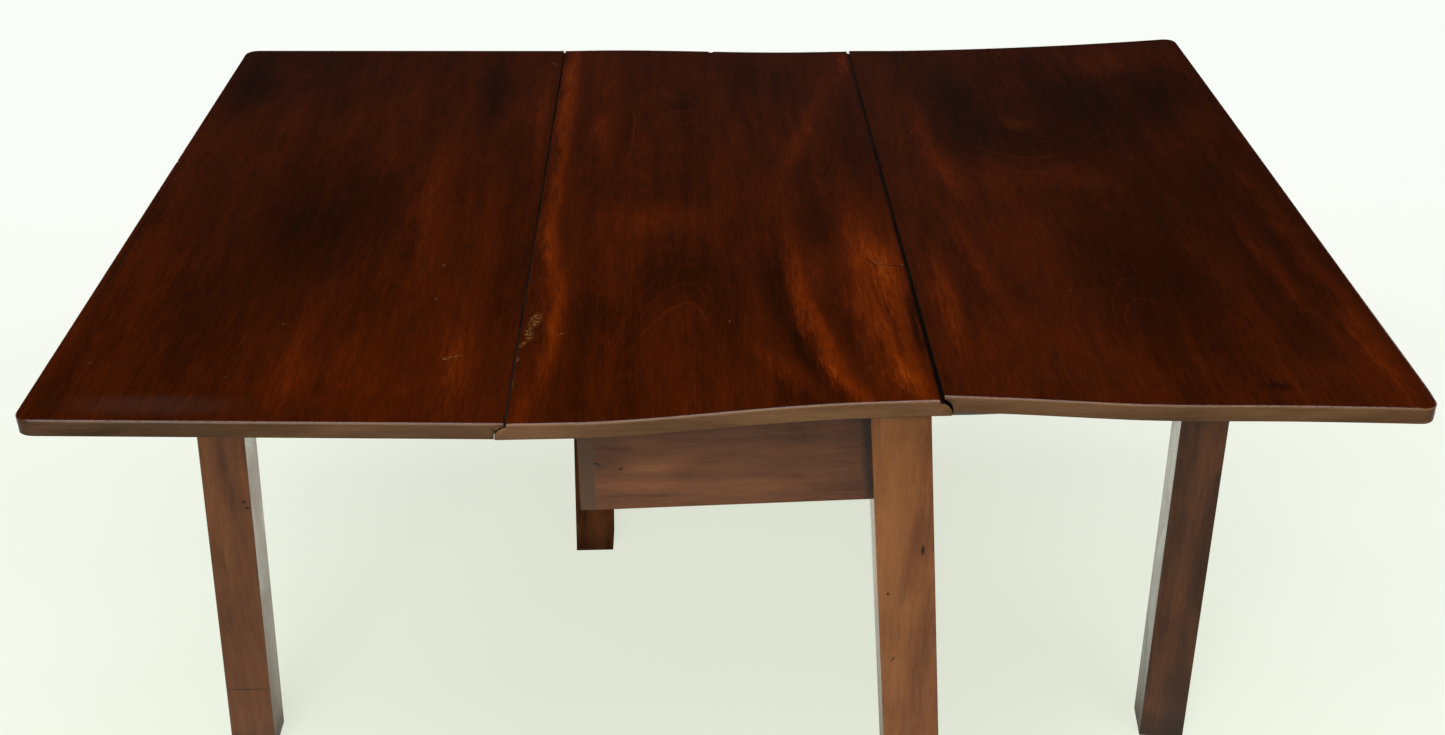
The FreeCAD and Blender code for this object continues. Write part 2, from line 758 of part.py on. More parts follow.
board_cuts = [fixings]
for side, name in ((1, "right"), (-1, "left")):
    pins = keep(hinge_pins(side), f"{name}_hinge_pins")
    board_screws = keep(flap_screws(side, -side, "Sizes.board_flap"), f"{name}_board_screws")
    leaf_screws = keep(flap_screws(side, side, "Sizes.leaf_flap"), f"{name}_leaf_screws")
    short = flaps(side, -side, "Sizes.board_flap", 0, "Sizes.hinge_pin_round", board_screws)
    play = "Sizes.hinge_pin_round + Sizes.pin_play"
    long = flaps(side, side, "Sizes.leaf_flap", 1, play, leaf_screws)
    keep(short, f"{name}_board_flaps")
    keep(long, f"{name}_leaf_flaps")
    blank = leaf_blank(f"Sizes.{name}_reach", f"Sizes.{name}_gap", side)
    keep(cut(blank, [long, leaf_screws]), f"{name}_leaf")
    board_cuts += [short, board_screws] + hinge_rooms(side)
keep(cut(centre_board_blank(), board_cuts), "centre_board")

# ---------------------------------------------------------------- tests and files

doc.recompute()
for thing in doc.Objects:
    if "Invalid" in thing.State or "Error" in thing.State:
        raise RuntimeError(f"{thing.Label} failed: {thing.State}")
for part in table_parts:
    if part.Shape.isNull() or not part.Shape.isValid() or not part.Shape.Solids:
        raise RuntimeError(f"{part.Label} has no valid solid")

os.makedirs("parts", exist_ok=True)
for part in table_parts:
    part.Shape.exportStep(f"parts/{part.Label}.step")
    print(part.Label, len(part.Shape.Solids), round(part.Shape.Volume))
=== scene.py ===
"""The looks of the gate-leg drop-leaf table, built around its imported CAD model.

The three boards are rebuilt from the CAD boards' own shapes, with the warp that old boards have.
Everything else keeps its CAD shape and gets its material here. Lengths are in metres.
"""

import math
from collections import namedtuple

import bmesh
import bpy
from mathutils import Matrix, Vector


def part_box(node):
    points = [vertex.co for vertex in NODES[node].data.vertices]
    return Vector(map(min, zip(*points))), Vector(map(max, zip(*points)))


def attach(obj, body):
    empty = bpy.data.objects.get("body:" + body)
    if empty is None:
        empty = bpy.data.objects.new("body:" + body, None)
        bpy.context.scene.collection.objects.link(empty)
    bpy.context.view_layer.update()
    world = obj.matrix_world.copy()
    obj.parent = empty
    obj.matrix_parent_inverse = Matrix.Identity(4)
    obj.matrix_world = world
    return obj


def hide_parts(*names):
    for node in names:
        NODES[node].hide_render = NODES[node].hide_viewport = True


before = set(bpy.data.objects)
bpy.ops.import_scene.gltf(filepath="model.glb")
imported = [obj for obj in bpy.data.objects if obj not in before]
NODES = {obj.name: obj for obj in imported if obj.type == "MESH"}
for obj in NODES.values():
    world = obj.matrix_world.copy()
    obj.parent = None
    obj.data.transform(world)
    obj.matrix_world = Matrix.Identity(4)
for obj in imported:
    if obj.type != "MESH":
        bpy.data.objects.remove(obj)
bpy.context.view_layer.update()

MM = 0.001
QUARTER = math.pi / 2

# ---------------------------------------------------------------- places read from the frame

BOARD_LOW, BOARD_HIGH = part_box("centre_board")
LEFT_LOW, LEFT_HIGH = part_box("left_leaf")
RIGHT_LOW, RIGHT_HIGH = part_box("right_leaf")
UNDER = BOARD_LOW.z
TOP = BOARD_HIGH.z
THICK = TOP - UNDER
END = BOARD_HIGH.y
LONG = 2 * END
LEFT_GAP = 2.0 * MM
RIGHT_GAP = 3.2 * MM
LEFT_SEAM = LEFT_HIGH.x + LEFT_GAP
RIGHT_SEAM = RIGHT_LOW.x - RIGHT_GAP
MIDDLE = (LEFT_SEAM + RIGHT_SEAM) / 2
FRAME_END = -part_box("near_right_leg")[0].y


def smooth(low, high, value):
    """0 below low, 1 above high, and an S between them."""
    share = min(1.0, max(0.0, (value - low) / (high - low)))
    return share * share * (3 - 2 * share)


def dome(value, middle, wide):
    """A soft bump, 1 at its middle."""
    return math.exp(-(((value - middle) / wide) ** 2))


# ---------------------------------------------------------------- the boards' warp
# Each board has cupped and twisted in its own way. A warp is how far the upper face stands
# above its CAD place, worked out between a curve along the near end and one along the far end.
# A curve gives that height at a share of the board's width, from its left side.

# Under the centre board the legs of the closed gates stand this far towards each end, and this
# far from MIDDLE. Outwards from there the part kept flat narrows to the frame's own length.
GATES_END = 448 * MM
GATES_SIDE = 200 * MM
NARROW_SIDE = 350 * MM
# The share of a board's thickness, from below, that stays flat over the frame.
FLAT_SHARE = 0.42


def left_near(across):
    """The left leaf's near end falls from its outer edge to the seam."""
    return MM * (4.3 - 12.8 * across)


def left_far(across):
    """Its far end falls in the same way, but less."""
    return MM * (6.3 - 7.1 * across)


def centre_near(across):
    """The centre board's near end is low on the left, then rises in one S to the right."""
    rise = 14.0 * smooth(0.16, 0.86, across) ** 0.9
    return MM * (-9.0 + rise + 0.9 * smooth(0.80, 1.0, across))


def centre_far(across):
    """Its far end falls in one S to the right."""
    return MM * (-0.9 - 6.9 * smooth(0.1, 0.85, across))


def right_near(across):
    """The right leaf's near end falls steeply at first and goes on falling to the corner."""
    return MM * (10.2 - 22.8 * across - 3.2 * dome(across, 0.42, 0.22) + 0.6 * dome(across, 1.0, 0.2))


def right_far(across):
    """Its far end is low at the seam and curves up to the corner."""
    return MM * (-8.0 + 10.4 * max(0.0, across - 0.17) ** 2 / 0.69 + 0.9 * dome(across, 0.0, 0.1))


WARPS = {
    "left_leaf": (LEFT_LOW.x, LEFT_SEAM, left_near, left_far),
    "centre_board": (LEFT_SEAM, RIGHT_SEAM, centre_near, centre_far),
    "right_leaf": (RIGHT_SEAM, RIGHT_HIGH.x, right_near, right_far),
}
# How fast the near end's curve gives way to the far end's; above 1, sooner than evenly.
GIVES_WAY = {"left_leaf": 1.0, "centre_board": 1.0, "right_leaf": 1.15}


def warp_at(board, x, y):
    """How far a board's upper face stands above its CAD place."""
    low, high, near, far = WARPS[board]
    across = min(1.0, max(0.0, (x - low) / (high - low)))
    share = 1 - (1 - (y + END) / LONG) ** GIVES_WAY[board]
    return (1 - share) * near(across) + share * far(across)


def warped(board, point):
    """Where a point of the flat board goes.

    At its ends the whole thickness moves. Over the frame and the closed gates the lower face
    stays flat, and only the upper part moves.
    """
    height = (point.z - UNDER) / THICK
    outwards = smooth(GATES_SIDE, NARROW_SIDE, abs(point.x - MIDDLE))
    level = GATES_END + (FRAME_END - GATES_END) * outwards
    free = smooth(level, END, abs(point.y))
    held = smooth(FLAT_SHARE, 1.0, height)
    share = free + (1 - free) * held
    return point + Vector((0, 0, warp_at(board, point.x, point.y) * share))


# ---------------------------------------------------------------- nodes

class Graph:
    """A material's nodes, with short ways to add the ones that wood and iron are made of."""

    def __init__(self, name):
        self.material = bpy.data.materials.new(name)
        self.material.use_nodes = True
        self.tree = self.material.node_tree
        self.shader = self.tree.nodes["Principled BSDF"]
        self.place = self.node("ShaderNodeTexCoord").outputs["Object"]

    def node(self, kind, **settings):
        made = self.tree.nodes.new(kind)
        for name, value in settings.items():
            setattr(made, name, value)
        return made

    def feed(self, socket, value):
        """Give a socket its value: another node's output, or a plain number or colour."""
        if isinstance(value, bpy.types.NodeSocket):
            self.tree.links.new(value, socket)
        else:
            socket.default_value = value

    def math(self, operation, first, second=0.0):
        made = self.node("ShaderNodeMath", operation=operation)
        self.feed(made.inputs[0], first)
        self.feed(made.inputs[1], second)
        return made.outputs[0]

    def add(self, *values):
        total = values[0]
        for value in values[1:]:
            total = self.math("ADD", total, value)
        return total

    def times(self, *values):
        total = values[0]
        for value in values[1:]:
            total = self.math("MULTIPLY", total, value)
        return total

    def about(self, noise, amount):
        """A noise moved to a mean of 0, times an amount."""
        return self.times(self.add(noise, -0.5), amount)

    def split(self, point):
        made = self.node("ShaderNodeSeparateXYZ")
        self.feed(made.inputs[0], point)
        return made.outputs

    def point(self, x, y, z=0.0):
        made = self.node("ShaderNodeCombineXYZ")
        for socket, value in zip(made.inputs, (x, y, z)):
            self.feed(socket, value)
        return made.outputs[0]

    def length(self, point):
        made = self.node("ShaderNodeVectorMath", operation="LENGTH")
        self.feed(made.inputs[0], point)
        return made.outputs["Value"]

    def mapped(self, point, scale=(1, 1, 1), move=(0, 0, 0), turn=(0, 0, 0)):
        made = self.node("ShaderNodeMapping")
        self.feed(made.inputs["Vector"], point)
        made.inputs["Scale"].default_value = scale
        made.inputs["Location"].default_value = move
        made.inputs["Rotation"].default_value = turn
        return made.outputs[0]

    def noise(self, point, scale=1.0, detail=2.0, rough=0.5, twist=0.0):
        """Noise from 0 to 1 round a mean of a half."""
        made = self.node("ShaderNodeTexNoise")
        self.feed(made.inputs["Vector"], point)
        made.inputs["Scale"].default_value = scale
        made.inputs["Detail"].default_value = detail
        made.inputs["Roughness"].default_value = rough
        made.inputs["Distortion"].default_value = twist
        return made.outputs["Fac"]

    def fade(self, value, low, high, start=0.0, stop=1.0):
        """start below low, stop above high, and an S between them; high may be below low."""
        made = self.node("ShaderNodeMapRange", interpolation_type="SMOOTHSTEP")
        for socket, number in zip(made.inputs, (value, low, high, start, stop)):
            self.feed(socket, number)
        return made.outputs[0]

    def mix(self, share, first, second):
        made = self.node("ShaderNodeMix", data_type="RGBA")
        self.feed(made.inputs[0], share)
        self.feed(made.inputs[6], first)
        self.feed(made.inputs[7], second)
        return made.outputs[2]

    def ramp(self, value, tones):
        """Colours at places from 0 to 1, the first of them at 0."""
        made = self.node("ShaderNodeValToRGB")
        self.feed(made.inputs[0], value)
        elements = made.color_ramp.elements
        elements.remove(elements[1])
        elements[0].color = (*tones[0][1], 1.0)
        for place, tone in tones[1:]:
            elements.new(place).color = (*tone, 1.0)
        return made.outputs[0]

    def bump(self, height, deep, strength=1.0, under=None):
        """Relief deep metres high where height goes from 0 to 1."""
        made = self.node("ShaderNodeBump")
        made.inputs["Strength"].default_value = strength
        made.inputs["Distance"].default_value = deep
        self.feed(made.inputs["Height"], height)
        if under:
            self.feed(made.inputs["Normal"], under)
        return made.outputs[0]

    def ellipse(self, place, x, y, wide, long, turn=0.0, soft=0.5):
        """1 inside an ellipse and 0 outside it; wide and long are its half axes, turn degrees."""
        made = self.node("ShaderNodeMapping", vector_type="TEXTURE")
        self.feed(made.inputs["Vector"], place)
        made.inputs["Location"].default_value = (x, y, 0)
        made.inputs["Rotation"].default_value = (0, 0, math.radians(turn))
        made.inputs["Scale"].default_value = (wide, long, 1)
        return self.fade(self.length(made.outputs[0]), 1 + soft, 1 - soft)

    def marks(self, place, ellipses, soft=0.5):
        """The strongest of several ellipses at each point."""
        total = 0.0
        for ellipse in ellipses:
            total = self.math("MAXIMUM", total, self.ellipse(place, *ellipse, soft=soft))
        return total

    def finish(self, colour, roughness, normal=None):
        self.feed(self.shader.inputs["Base Color"], colour)
        self.feed(self.shader.inputs["Roughness"], roughness)
        if normal:
            self.feed(self.shader.inputs["Normal"], normal)
        return self.material


# ---------------------------------------------------------------- woods
# A wood's tones are its colours from its darkest, at 0, to its lightest, at 1.

POLISH_TONES = [
    (0.00, (0.010, 0.0022, 0.0004)),
    (0.25, (0.022, 0.0036, 0.0004)),
    (0.50, (0.046, 0.0064, 0.0005)),
    (0.75, (0.098, 0.0136, 0.0007)),
    (1.00, (0.190, 0.0340, 0.0030)),
]
SATIN_TONES = [
    (0.00, (0.026, 0.009, 0.004)),
    (0.30, (0.082, 0.027, 0.010)),
    (0.60, (0.190, 0.064, 0.020)),
    (1.00, (0.350, 0.135, 0.040)),
]
END_TONES = [
    (0.00, (0.035, 0.018, 0.008)),
    (0.45, (0.125, 0.060, 0.024)),
    (1.00, (0.250, 0.125, 0.048)),
]
RAW_TONES = [
    (0.00, (0.070, 0.032, 0.017)),
    (0.50, (0.150, 0.075, 0.038)),
    (1.00, (0.250, 0.140, 0.075)),
]
OAK_TONES = [
    (0.00, (0.060, 0.036, 0.018)),
    (0.50, (0.160, 0.098, 0.048)),
    (1.00, (0.270, 0.180, 0.095)),
]
OPEN_GRAIN = (0.006, 0.002, 0.0008, 1)
BARE_WOOD = (0.16, 0.074, 0.018, 1)
# The pale grey of a painted reflection on the polish.
REFLECTION_GREY = (0.100, 0.070, 0.060, 1)
STAINED_END = (0.100, 0.052, 0.026, 1)
WAX_DARK = (0.0030, 0.0014, 0.0008, 1)
WAX_LIGHT = (0.0130, 0.0055, 0.0028, 1)

# Turns that lay the grain up a leg, across the table from side to side, or along its seams.
GRAIN_UP = (QUARTER, 0, 0)
GRAIN_ACROSS = (0, 0, QUARTER)
GRAIN_ALONG = (0, 0, 0)


def in_wood(graph, seed, turn=GRAIN_ALONG):
    """A place in the wood that a piece is cut from, with the grain along y."""
    turned = graph.mapped(graph.place, turn=turn)
    return graph.mapped(turned, move=(seed * 1.7, seed * 3.1, seed * 0.9))


def grain(graph, placed, sway=0.030):
    """Wood's own coordinates: across the grain, with a slow sway, along it, and deep into it."""
    x, y, z = graph.split(placed)
    slow = graph.noise(graph.mapped(placed, scale=(5.0, 1.3, 5.0)), detail=2)
    return graph.add(x, graph.about(slow, sway)), y, z


def fibre(graph, wood, wide, long, detail=3, rough=0.6):
    """Noise drawn out along the grain: streaks about wide across and long along, in metres."""
    across, along, deep = wood
    place = graph.point(
        graph.times(across, 1 / wide), graph.times(along, 1 / long), graph.times(deep, 1 / wide)
    )
    return graph.noise(place, detail=detail, rough=rough)


def pores(graph, wood, share=0.66):
    """The open pores of the wood: short dark dashes along the grain."""
    return graph.fade(fibre(graph, wood, 0.7 * MM, 11 * MM, detail=1), share, share + 0.06)


# The figure of each board: light and dark flames along the grain. Places are from MIDDLE; wide
# and long are half sizes. glow is how much a flame lightens the wood, or darkens it below 0, and
# lean and bow bend its middle line.
Flame = namedtuple("Flame", "x y wide long glow lean bow", defaults=(0.0, 0.0))
FIGURES = {
    "left_leaf": [
        Flame(-0.298, 0.040, 0.012, 0.110, 0.18),
        Flame(-0.286, -0.110, 0.014, 0.120, 0.10),
        Flame(-0.228, -0.150, 0.012, 0.160, 0.14),
        Flame(-0.192, 0.190, 0.006, 0.220, 0.15),
        Flame(-0.320, -0.375, 0.020, 0.080, 0.14),
        Flame(-0.372, -0.385, 0.020, 0.050, 0.12),
        Flame(-0.230, -0.355, 0.016, 0.070, 0.18),
        Flame(-0.248, -0.370, 0.100, 0.120, 0.06),
        Flame(-0.551, -0.120, 0.014, 0.160, 0.08),
        Flame(-0.402, -0.060, 0.060, 0.140, -0.28),
        Flame(-0.254, 0.310, 0.016, 0.130, -0.22),
        Flame(-0.554, 0.330, 0.020, 0.100, -0.22),
        Flame(-0.500, 0.380, 0.100, 0.120, -0.12),
        Flame(-0.478, 0.230, 0.014, 0.140, 0.12),
        Flame(-0.475, -0.320, 0.050, 0.120, -0.08),
    ],
    "centre_board": [
        Flame(-0.166, 0.300, 0.011, 0.200, 0.34),
        Flame(-0.164, 0.000, 0.007, 0.150, 0.22),
        Flame(-0.149, -0.240, 0.010, 0.180, 0.28, lean=-0.03, bow=-0.57),
        Flame(0.087, -0.335, 0.012, 0.165, 0.44, lean=-0.15, bow=0.52),
        Flame(0.078, -0.165, 0.005, 0.070, 0.08),
        Flame(0.150, -0.230, 0.030, 0.190, 0.33),
        Flame(0.160, -0.185, 0.014, 0.055, 0.18),
        Flame(0.159, -0.400, 0.012, 0.085, 0.26, lean=-0.16),
        Flame(0.140, -0.330, 0.007, 0.080, 0.04, lean=-0.22),
        Flame(0.152, -0.300, 0.004, 0.080, -0.16, lean=-0.10),
        Flame(0.163, -0.120, 0.010, 0.030, -0.07),
        Flame(0.150, -0.352, 0.013, 0.030, -0.13),
        Flame(0.112, -0.290, 0.007, 0.130, -0.10, lean=-0.09, bow=0.25),
        Flame(0.098, -0.195, 0.012, 0.050, 0.18),
        Flame(0.108, -0.080, 0.016, 0.060, -0.14),
        Flame(0.054, -0.240, 0.014, 0.080, -0.23, lean=-0.10),
        Flame(0.072, -0.365, 0.007, 0.045, -0.22, lean=-0.15),
        Flame(0.057, -0.395, 0.012, 0.040, 0.20, lean=-0.45),
        Flame(-0.048, -0.060, 0.050, 0.035, 0.17),
        Flame(-0.083, -0.125, 0.030, 0.050, 0.07),
        Flame(-0.043, -0.205, 0.032, 0.045, -0.16),
        Flame(-0.116, -0.275, 0.018, 0.050, -0.15),
        Flame(-0.108, -0.352, 0.016, 0.030, -0.08),
        Flame(-0.060, 0.100, 0.020, 0.030, -0.06),
        Flame(-0.036, -0.390, 0.040, 0.050, 0.08),
        Flame(0.176, -0.315, 0.003, 0.050, -0.45),
        Flame(0.117, 0.220, 0.012, 0.210, 0.19, lean=0.23),
        Flame(0.170, 0.400, 0.008, 0.060, 0.24, lean=0.10),
        Flame(-0.118, 0.230, 0.014, 0.160, 0.14),
        Flame(0.032, 0.350, 0.060, 0.110, -0.10),
        Flame(-0.038, 0.265, 0.022, 0.030, -0.12),
        Flame(0.157, 0.130, 0.018, 0.130, -0.14),
        Flame(0.132, 0.300, 0.018, 0.060, -0.08),
        Flame(0.080, 0.070, 0.020, 0.050, -0.07),
        Flame(-0.089, 0.170, 0.0015, 0.070, 0.22, lean=0.02),
    ],
    "right_leaf": [
        Flame(0.249, 0.070, 0.012, 0.090, 0.14, lean=-0.12),
        Flame(0.230, 0.300, 0.018, 0.040, -0.07),
        Flame(0.242, 0.220, 0.010, 0.090, 0.12),
        Flame(0.380, 0.030, 0.050, 0.035, 0.12),
        Flame(0.354, 0.190, 0.018, 0.018, 0.26),
        Flame(0.572, -0.080, 0.012, 0.120, 0.13),
        Flame(0.534, -0.170, 0.010, 0.110, 0.22, lean=-0.05),
        Flame(0.577, -0.330, 0.012, 0.120, 0.20),
        Flame(0.210, -0.260, 0.010, 0.090, 0.27),
        Flame(0.500, -0.060, 0.120, 0.260, -0.16),
        Flame(0.530, 0.260, 0.060, 0.090, -0.14),
        Flame(0.250, -0.190, 0.010, 0.120, 0.16, lean=-0.10),
        Flame(0.306, -0.360, 0.008, 0.080, 0.04),
        Flame(0.250, -0.380, 0.060, 0.080, 0.08),
        Flame(0.522, -0.400, 0.020, 0.020, 0.12),
        Flame(0.442, 0.220, 0.070, 0.100, -0.17),
        Flame(0.332, 0.140, 0.070, 0.060, -0.20),
        Flame(0.292, 0.230, 0.035, 0.100, -0.24),
        Flame(0.397, -0.220, 0.055, 0.130, -0.20),
        Flame(0.470, -0.426, 0.012, 0.006, -0.30),
        Flame(0.520, 0.400, 0.070, 0.040, 0.16, lean=0.30),
        Flame(0.542, 0.170, 0.030, 0.060, 0.10, lean=0.30),
        Flame(0.400, 0.330, 0.140, 0.120, -0.12),
    ],
}
# Nests of pale growth lines: the innermost arch's tip, its half width to the left and to the
# right at one length from the tip, and which way it opens, 1 towards the near end.
Nest = namedtuple("Nest", "x y left right long sense")
ARCHES = {
    "left_leaf": [],
    "centre_board": [
        Nest(-0.026, -0.256, 0.062, 0.028, 0.120, 1),
        Nest(-0.033, 0.285, 0.040, 0.040, 0.100, -1),
    ],
    "right_leaf": [
        Nest(0.394, -0.262, 0.030, 0.020, 0.060, 1),
        Nest(0.350, 0.130, 0.080, 0.090, 0.060, -1),
    ],
}
# Small pale dents and scratches through the polish: place, half width and length, turn.
DENTS = {
    "left_leaf": [
        (-0.546, -0.362, 0.0010, 0.0014, 0),
        (-0.425, -0.385, 0.0007, 0.0016, 0),
        (-0.263, -0.164, 0.0007, 0.0020, 0),
        (-0.262, -0.235, 0.0008, 0.0016, 0),
        (-0.234, -0.346, 0.0080, 0.0010, 12),
        (-0.240, -0.350, 0.0030, 0.0014, 40),
        (-0.393, -0.286, 0.0014, 0.0008, 0),
        (-0.189, 0.410, 0.0016, 0.0060, 20),
    ],
    "centre_board": [
        (-0.167, -0.276, 0.0050, 0.0130, -8),
        (-0.171, -0.300, 0.0036, 0.0130, 6),
        (-0.175, -0.321, 0.0020, 0.0060, -25),
        (-0.141, -0.303, 0.0050, 0.0008, 30),
        (-0.178, -0.350, 0.0010, 0.0050, 0),
        (-0.179, -0.395, 0.0009, 0.0100, 0),
        (0.010, -0.297, 0.0007, 0.0040, 0),
        (0.127, -0.398, 0.0009, 0.0012, 0),
        (0.047, -0.341, 0.0007, 0.0014, 0),
        (0.1785, -0.194, 0.0014, 0.0035, 0),
        (0.155, -0.1875, 0.0050, 0.0007, -26),
    ],
    "right_leaf": [(0.229, 0.165, 0.0009, 0.0036, -12), (0.330, -0.245, 0.0008, 0.0014, 0)],
}
# Painted reflections: places where the polish is tinted pale grey, as if it reflected something
# bright, in the same way.
PAINTED_REFLECTIONS = {"left_leaf": [(-0.475, -0.434, 0.058, 0.014, 0)], "centre_board": [], "right_leaf": []}
# Cracks and open hairlines, in the same way.
CRACKS = {
    "left_leaf": [(-0.5755, -0.070, 0.0008, 0.190, 0), (-0.5735, -0.190, 0.0006, 0.080, 0.4)],
    "centre_board": [(0.1485, -0.1860, 0.0008, 0.0110, 26), (0.1680, -0.1945, 0.0008, 0.0130, 76)],
    "right_leaf": [],
}


def flame_shape(graph, x, y, flame):
    """1 along the middle of a flame, fading to 0 at its sides and ends."""
    up = graph.add(y, -flame.y)
    off = graph.add(x, -flame.x)
    if flame.lean or flame.bow:
        bend = graph.add(graph.times(up, flame.bow), flame.lean)
        off = graph.math("SUBTRACT", off, graph.times(up, bend))
    place = graph.point(graph.times(off, 1 / flame.wide), graph.times(up, 1 / flame.long))
    return graph.fade(graph.length(place), 1.7, 0.1)


def growth_lines(graph, x, y, wobble, nest):
    """Thin arches, each outside the last, that fade away from the nest's tip."""
    spacing = 43 * MM
    off = graph.add(x, -nest.x, graph.about(wobble, 12 * MM))
    off = graph.math("MAXIMUM", graph.times(off, 1 / nest.right), graph.times(off, -1 / nest.left))
    bow = graph.times(off, off, nest.long)
    below = graph.times(graph.add(y, -nest.y), -nest.sense)
    level = graph.add(below, graph.times(bow, -1.0), graph.about(wobble, 16 * MM))
    turn = graph.math("FRACT", graph.add(graph.times(level, 1 / spacing), 0.5))
    line = graph.fade(graph.math("ABSOLUTE", graph.add(turn, -0.5)), 0.055, 0.008)
    outside = graph.fade(level, 20 * MM, 8 * MM)
    away = graph.fade(graph.math("ABSOLUTE", level), 190 * MM, 30 * MM)
    short = graph.fade(below, 1.6 * nest.long, 0.9 * nest.long)
    return graph.times(line, outside, away, short)


def polish_tone(graph, board, placed, wood, x, y):
    """How light a board's polished side is: its grain, its flames and its growth lines."""
    broad = fibre(graph, wood, 50 * MM, 450 * MM)
    medium = fibre(graph, wood, 9 * MM, 110 * MM, detail=4)
    fine = fibre(graph, wood, 2.2 * MM, 22 * MM)
    mottle = graph.noise(graph.mapped(placed, scale=(24, 11, 24)), detail=4, rough=0.6)
    tone = graph.add(
        0.35,
        graph.about(broad, 0.42),
        graph.about(medium, 0.30),
        graph.about(fine, 0.42),
        graph.about(mottle, 0.26),
    )
    sway = graph.add(graph.about(medium, 14 * MM), graph.about(fine, 4 * MM))
    ragged_x = graph.add(x, sway, graph.about(mottle, 18 * MM))
    ragged_y = graph.add(y, graph.times(graph.add(fine, mottle, -1.0), 40 * MM))
    flames = 0.0
    for flame in FIGURES[board]:
        shape = flame_shape(graph, ragged_x, ragged_y, flame)
        flames = graph.add(flames, graph.times(shape, flame.glow))
    streaks = fibre(graph, wood, 5 * MM, 45 * MM, detail=5, rough=0.65)
    tone = graph.add(tone, graph.times(flames, graph.fade(streaks, 0.2, 0.8, 0.7, 1.3)))
    for nest in ARCHES[board]:
        tone = graph.add(tone, graph.times(growth_lines(graph, x, y, mottle, nest), 0.19))
    return tone


def chafed_arris(graph, placed):
    """How much duller a board's rounded edge is: evenly at its sides, in patches at its ends."""
    evenly = 0.22
    chafes = graph.noise(placed, 130, detail=4, rough=0.7)
    facing = graph.split(graph.node("ShaderNodeNewGeometry").outputs["True Normal"])
    arris = graph.fade(facing[2], 0.98, 0.92)
    at_end = graph.fade(graph.math("ABSOLUTE", facing[1]), 0.05, 0.25)
    broken = graph.add(graph.fade(chafes, 0.47, 0.56, 0.0, 0.30), -evenly)
    return graph.times(arris, graph.add(evenly, graph.times(at_end, broken)))


def polish_relief(graph, placed, hollows):
    """Slow waves in the polish, and the small hollows in it."""
    wave = graph.noise(graph.mapped(placed, scale=(22, 7, 22)), detail=2)
    normal = graph.bump(wave, 0.6 * MM, 0.35)
    return graph.bump(graph.times(hollows, -1.0), 0.08 * MM, 0.6, normal)


def board_polish(board, seed):
    """A board's polished upper side: deep red mahogany, with its figure, its wear and, on the left
    leaf, a painted reflection.
    """
    graph = Graph(board + "_polish")
    placed = in_wood(graph, seed)
    wood = grain(graph, placed)
    x, y = graph.split(graph.place)[:2]
    x = graph.add(x, -MIDDLE)
    open_pores = pores(graph, wood)
    crumbs = graph.noise(placed, 320, detail=4, rough=0.7)
    nibble = graph.about(crumbs, 12 * MM)
    dents = graph.marks(graph.point(graph.add(x, nibble), graph.add(y, nibble)), DENTS[board])
    thin = graph.about(crumbs, 1.6 * MM)
    open_lines = graph.marks(graph.point(graph.add(x, thin), graph.add(y, thin)), CRACKS[board])
    painted_reflection = graph.marks(graph.point(x, y), PAINTED_REFLECTIONS[board], soft=0.8)

    colour = graph.ramp(polish_tone(graph, board, placed, wood, x, y), POLISH_TONES)
    colour = graph.mix(graph.times(open_pores, 0.55), colour, OPEN_GRAIN)
    worn = graph.times(dents, graph.fade(crumbs, 0.47, 0.58, 0.05, 0.75))
    colour = graph.mix(worn, colour, BARE_WOOD)
    colour = graph.mix(graph.times(open_lines, 0.8), colour, OPEN_GRAIN)
    # A painted reflection: the polish is tinted pale grey inside these places.
    colour = graph.mix(graph.times(painted_reflection, 0.08), colour, REFLECTION_GREY)

    rubbed = graph.noise(graph.mapped(placed, scale=(9, 5, 9)), detail=3)
    roughness = graph.add(graph.fade(rubbed, 0.3, 0.7, 0.10, 0.15), graph.times(dents, 0.08))
    roughness = graph.add(roughness, chafed_arris(graph, placed))
    hollows = graph.add(open_pores, graph.times(dents, 3.0), graph.times(open_lines, 4.0))
    return graph.finish(colour, roughness, polish_relief(graph, placed, hollows))


# How light a board's ends are: two places across the table, by x, and the tone at each.
END_SHADES = {
    "left_leaf": (-0.62, -0.30, 0.14, 0.36),
    "centre_board": (-0.06, 0.10, 0.43, 0.58),
    "right_leaf": (0.25, 0.50, 0.46, 0.48),
}


def end_grain(board, seed):
    """A board's sawn ends: dull, grey-brown, with pores end-on."""
    graph = Graph(board + "_ends")
    placed = in_wood(graph, seed)
    cloud = graph.noise(graph.mapped(placed, scale=(9, 9, 60)), detail=4, rough=0.6)
    rings = graph.noise(graph.mapped(placed, scale=(30, 30, 700)), detail=3)
    dots = graph.noise(graph.mapped(placed, scale=(1500, 200, 1500)), detail=1)
    tone = graph.add(
        graph.fade(graph.split(graph.place)[0], *END_SHADES[board]),
        graph.about(cloud, 0.9),
        graph.about(rings, 0.35),
        graph.about(dots, 0.35),
    )
    colour = graph.ramp(tone, END_TONES)
    graph.shader.inputs["Specular IOR Level"].default_value = 0.3
    roughness = graph.fade(cloud, 0.3, 0.7, 0.42, 0.55)
    return graph.finish(colour, roughness, graph.bump(dots, 0.15 * MM, 0.5))


def old_wax(board, seed):
    """The inner faces of a rule joint: dull, and nearly black with old wax."""
    graph = Graph(board + "_joint")
    placed = in_wood(graph, seed)
    cloud = graph.noise(graph.mapped(placed, scale=(60, 20, 60)), detail=4, rough=0.6)
    colour = graph.mix(graph.fade(cloud, 0.3, 0.7), WAX_DARK, WAX_LIGHT)
    graph.shader.inputs["Specular IOR Level"].default_value = 0.1
    roughness = graph.fade(cloud, 0.3, 0.7, 0.75, 0.85)
    return graph.finish(colour, roughness, graph.bump(cloud, 0.2 * MM, 0.5))


